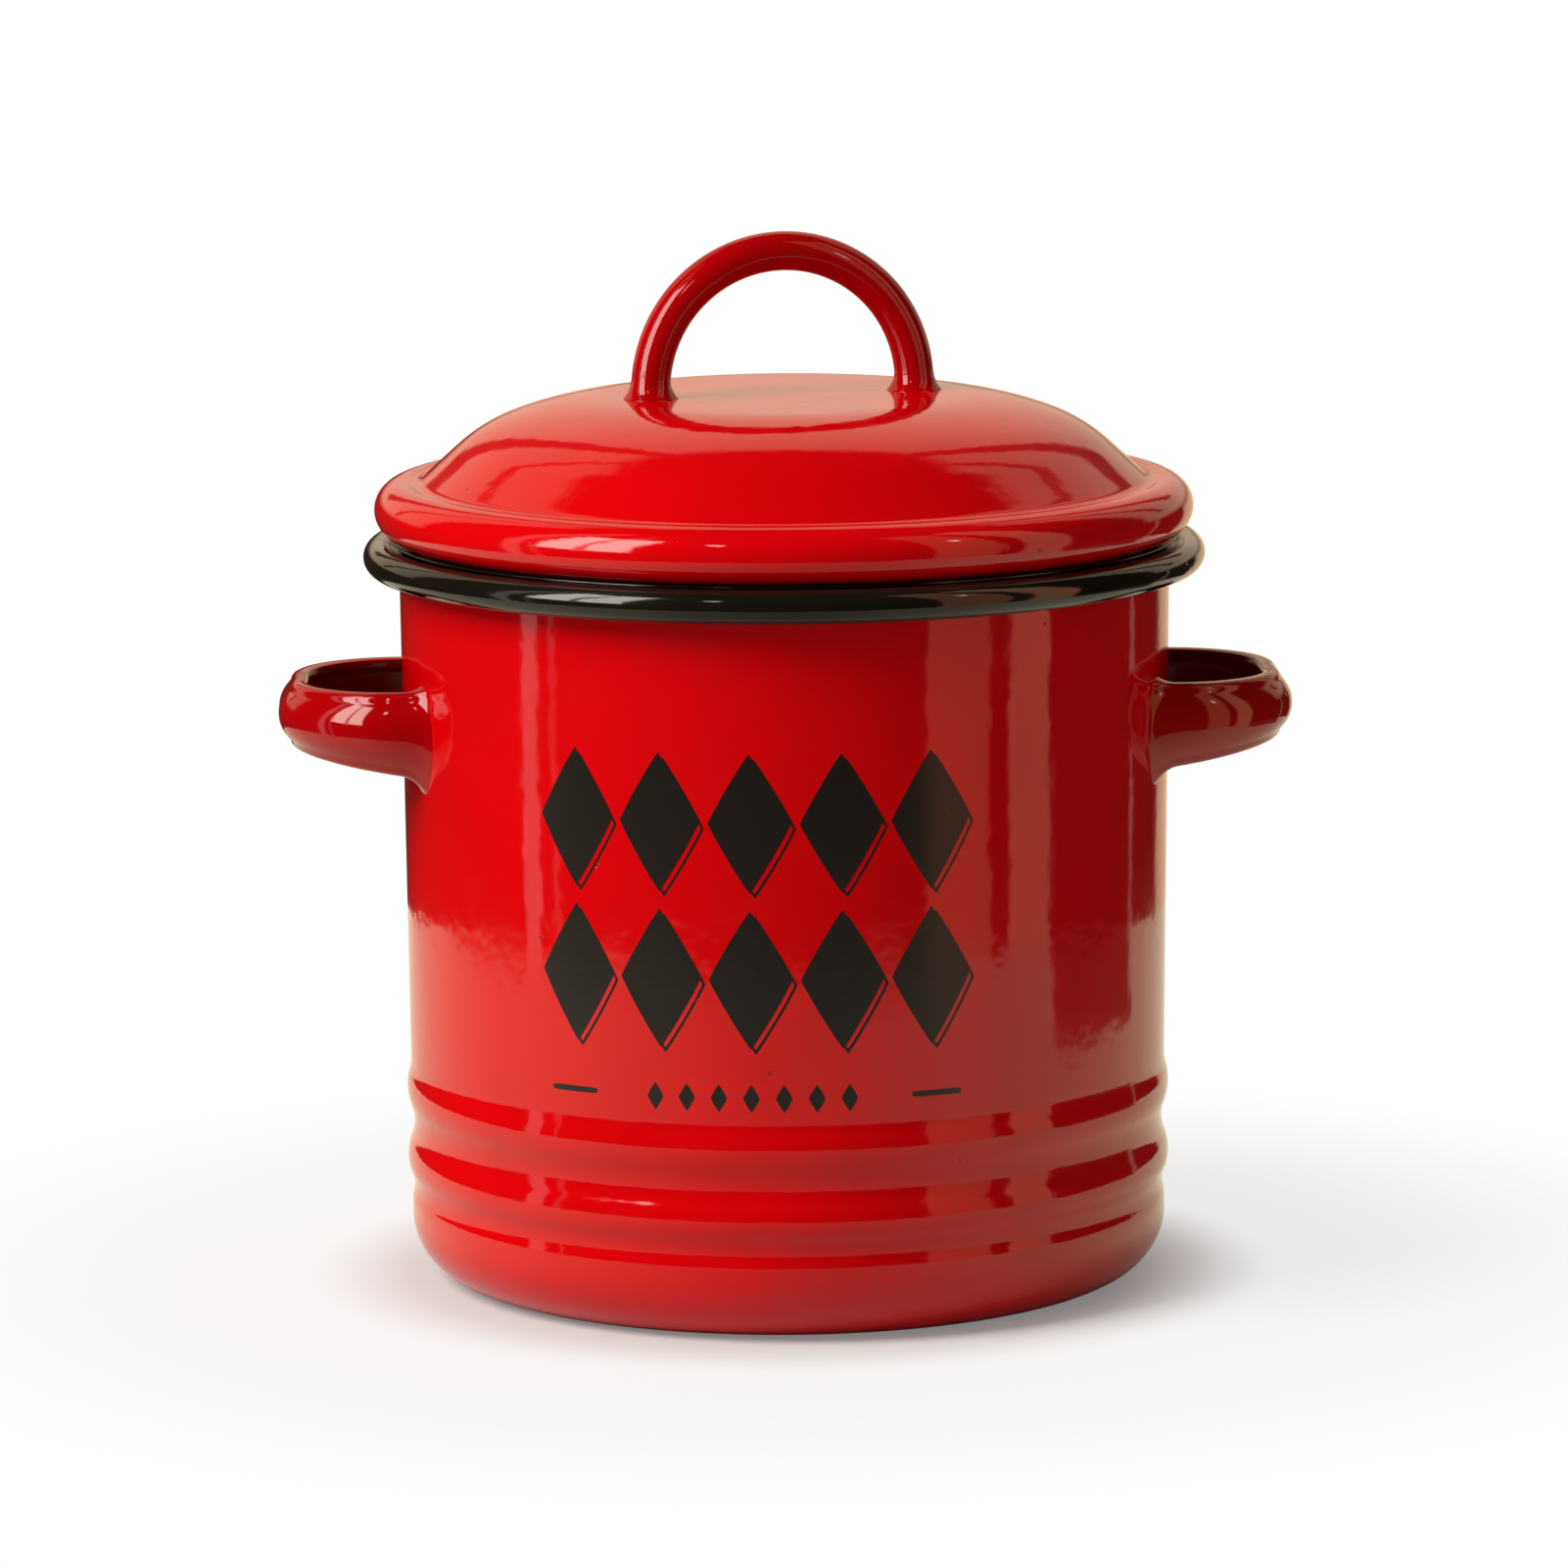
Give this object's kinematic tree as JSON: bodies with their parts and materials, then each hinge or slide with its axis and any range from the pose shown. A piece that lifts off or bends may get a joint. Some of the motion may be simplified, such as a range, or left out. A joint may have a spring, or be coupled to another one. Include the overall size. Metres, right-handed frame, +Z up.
{
  "type": "grease keeper",
  "caption": "Lidded enamelled steel pot with two strap side handles, an arch handle on the lid and a drop-in strainer.",
  "frame": {"origin": "centre of the pot's flat base, on the surface it stands on", "axes": "+Z up along the pot's axis; the side handles lie on the X axis; the front faces -Y"},
  "size_m": [0.1656, 0.1374, 0.1715],
  "materials": {
    "red_enamel": "glossy vitreous enamel, bright red",
    "black_enamel": "glossy vitreous enamel, black",
    "stainless_steel": "brushed stainless",
    "stainless_mesh": "drawn stainless wire"
  },
  "bodies": {
    "pot": {"pot_shell": "red_enamel", "side_handle_left": "red_enamel", "side_handle_right": "red_enamel"},
    "strainer": {"strainer_frame": "black_enamel", "strainer_mesh": "stainless_mesh", "strainer_clamp_ring": "stainless_steel"},
    "lid": {"lid_shell": "red_enamel", "lid_handle": "red_enamel"}
  },
  "joints": [
    {"name": "strainer_lift", "type": "slide", "parent": "pot", "child": "strainer", "axis": [0, 0, 1], "range_m": [0, 0.06]},
    {"name": "lid_lift", "type": "slide", "parent": "strainer", "child": "lid", "axis": [0, 0, 1], "range_m": [0, 0.08]}
  ]
}
